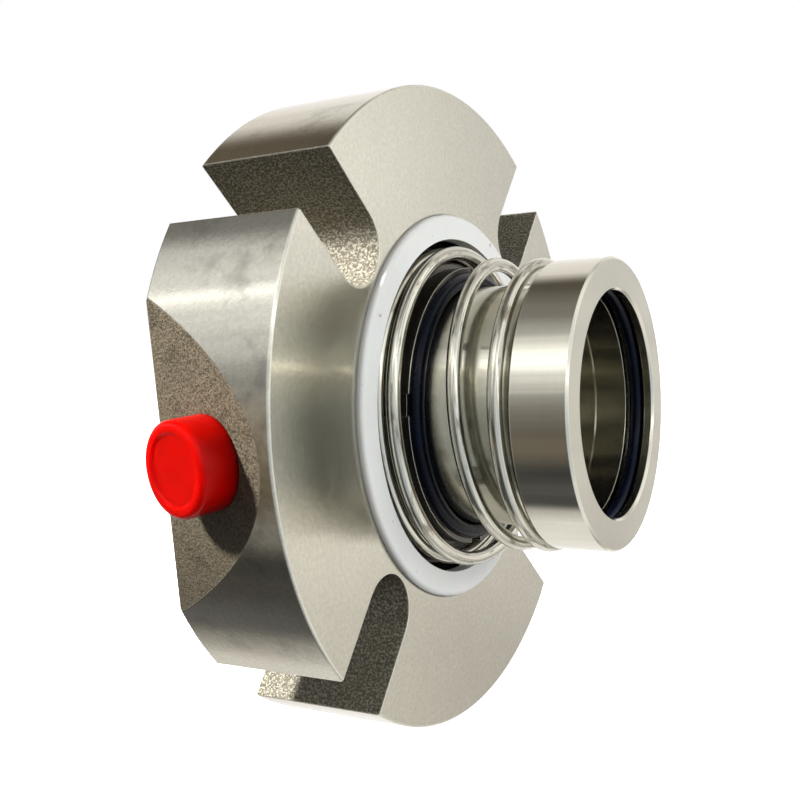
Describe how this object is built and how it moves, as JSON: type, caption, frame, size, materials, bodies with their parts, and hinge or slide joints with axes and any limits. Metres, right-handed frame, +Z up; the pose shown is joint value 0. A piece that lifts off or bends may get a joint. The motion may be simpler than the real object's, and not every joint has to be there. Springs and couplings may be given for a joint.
{
  "type": "cartridge mechanical seal",
  "caption": "Cartridge mechanical seal: slotted gland plate with flush port and gasket, and a spring-loaded rotary face unit on a shaft sleeve.",
  "frame": {"origin": "on the shaft axis, in the plane of the gland plate's machined inboard face", "axes": "+X along the shaft axis towards the inboard (pump) side, +Z up through one lobe of the gland, -Y through the lobe with the flush port"},
  "size_m": [0.101, 0.1543, 0.148],
  "materials": {
    "gland_steel": "satin, cast on the slot walls and the port flat",
    "gasket_ptfe": "smooth pale fluoropolymer",
    "seat_carbide": "lapped dark ceramic",
    "seal_rubber": "smooth",
    "pin_steel": "ground",
    "red_plastic": "glossy moulded",
    "face_carbon": "lapped carbon",
    "holder_steel": "turned, dark in the chamber",
    "blue_rubber": "smooth dark blue",
    "spring_wire": "bright drawn wire",
    "sleeve_steel": "fine turned",
    "collar_steel": "turned",
    "screw_steel": "blackened",
    "spring_steel": "blackened",
    "clip_screw_steel": "bright",
    "clip_steel": "bent strip"
  },
  "bodies": {
    "gland_body": {"gland": "gland_steel", "gland_gasket": "gasket_ptfe", "seat_ring": "seat_carbide", "seat_oring": "seal_rubber", "seat_pin": "pin_steel", "clip_screws": "clip_screw_steel"},
    "plug_body": {"flush_plug": "red_plastic"},
    "rotary_face": {"face_ring": "face_carbon", "face_holder": "holder_steel", "face_pins": "pin_steel", "face_oring": "blue_rubber", "spring": "spring_wire"},
    "sleeve_unit": {"sleeve": "sleeve_steel", "sleeve_oring": "blue_rubber", "drive_collar": "collar_steel", "set_screws": "screw_steel", "snap_ring": "spring_steel"},
    "clip_1": {"clip_1": "clip_steel"},
    "clip_2": {"clip_2": "clip_steel"},
    "clip_3": {"clip_3": "clip_steel"},
    "clip_4": {"clip_4": "clip_steel"}
  },
  "joints": [
    {"name": "rotary_turn", "type": "hinge", "parent": "gland_body", "child": "rotary_face", "pos_m": [0, 0, 0], "axis": [1, 0, 0], "continuous": true},
    {"name": "sleeve_slide", "type": "slide", "parent": "rotary_face", "child": "sleeve_unit", "axis": [1, 0, 0], "range_m": [-0.0013, 0.0013], "stiffness_N_per_m": 1800, "deforming": ["spring"]},
    {"name": "plug_pull", "type": "slide", "parent": "gland_body", "child": "plug_body", "axis": [-0.2419, -0.9703, 0], "range_m": [0, 0.02]},
    {"name": "clip_1_swing", "type": "hinge", "parent": "gland_body", "child": "clip_1", "pos_m": [-0.035, 0.05326, 0.01731], "axis": [1, 0, 0], "range_deg": [-120, 120]},
    {"name": "clip_2_swing", "type": "hinge", "parent": "gland_body", "child": "clip_2", "pos_m": [-0.035, -0.01731, 0.05326], "axis": [1, 0, 0], "range_deg": [-120, 120]},
    {"name": "clip_3_swing", "type": "hinge", "parent": "gland_body", "child": "clip_3", "pos_m": [-0.035, -0.05326, -0.01731], "axis": [1, 0, 0], "range_deg": [-120, 120]},
    {"name": "clip_4_swing", "type": "hinge", "parent": "gland_body", "child": "clip_4", "pos_m": [-0.035, 0.01731, -0.05326], "axis": [1, 0, 0], "range_deg": [-120, 120]}
  ]
}
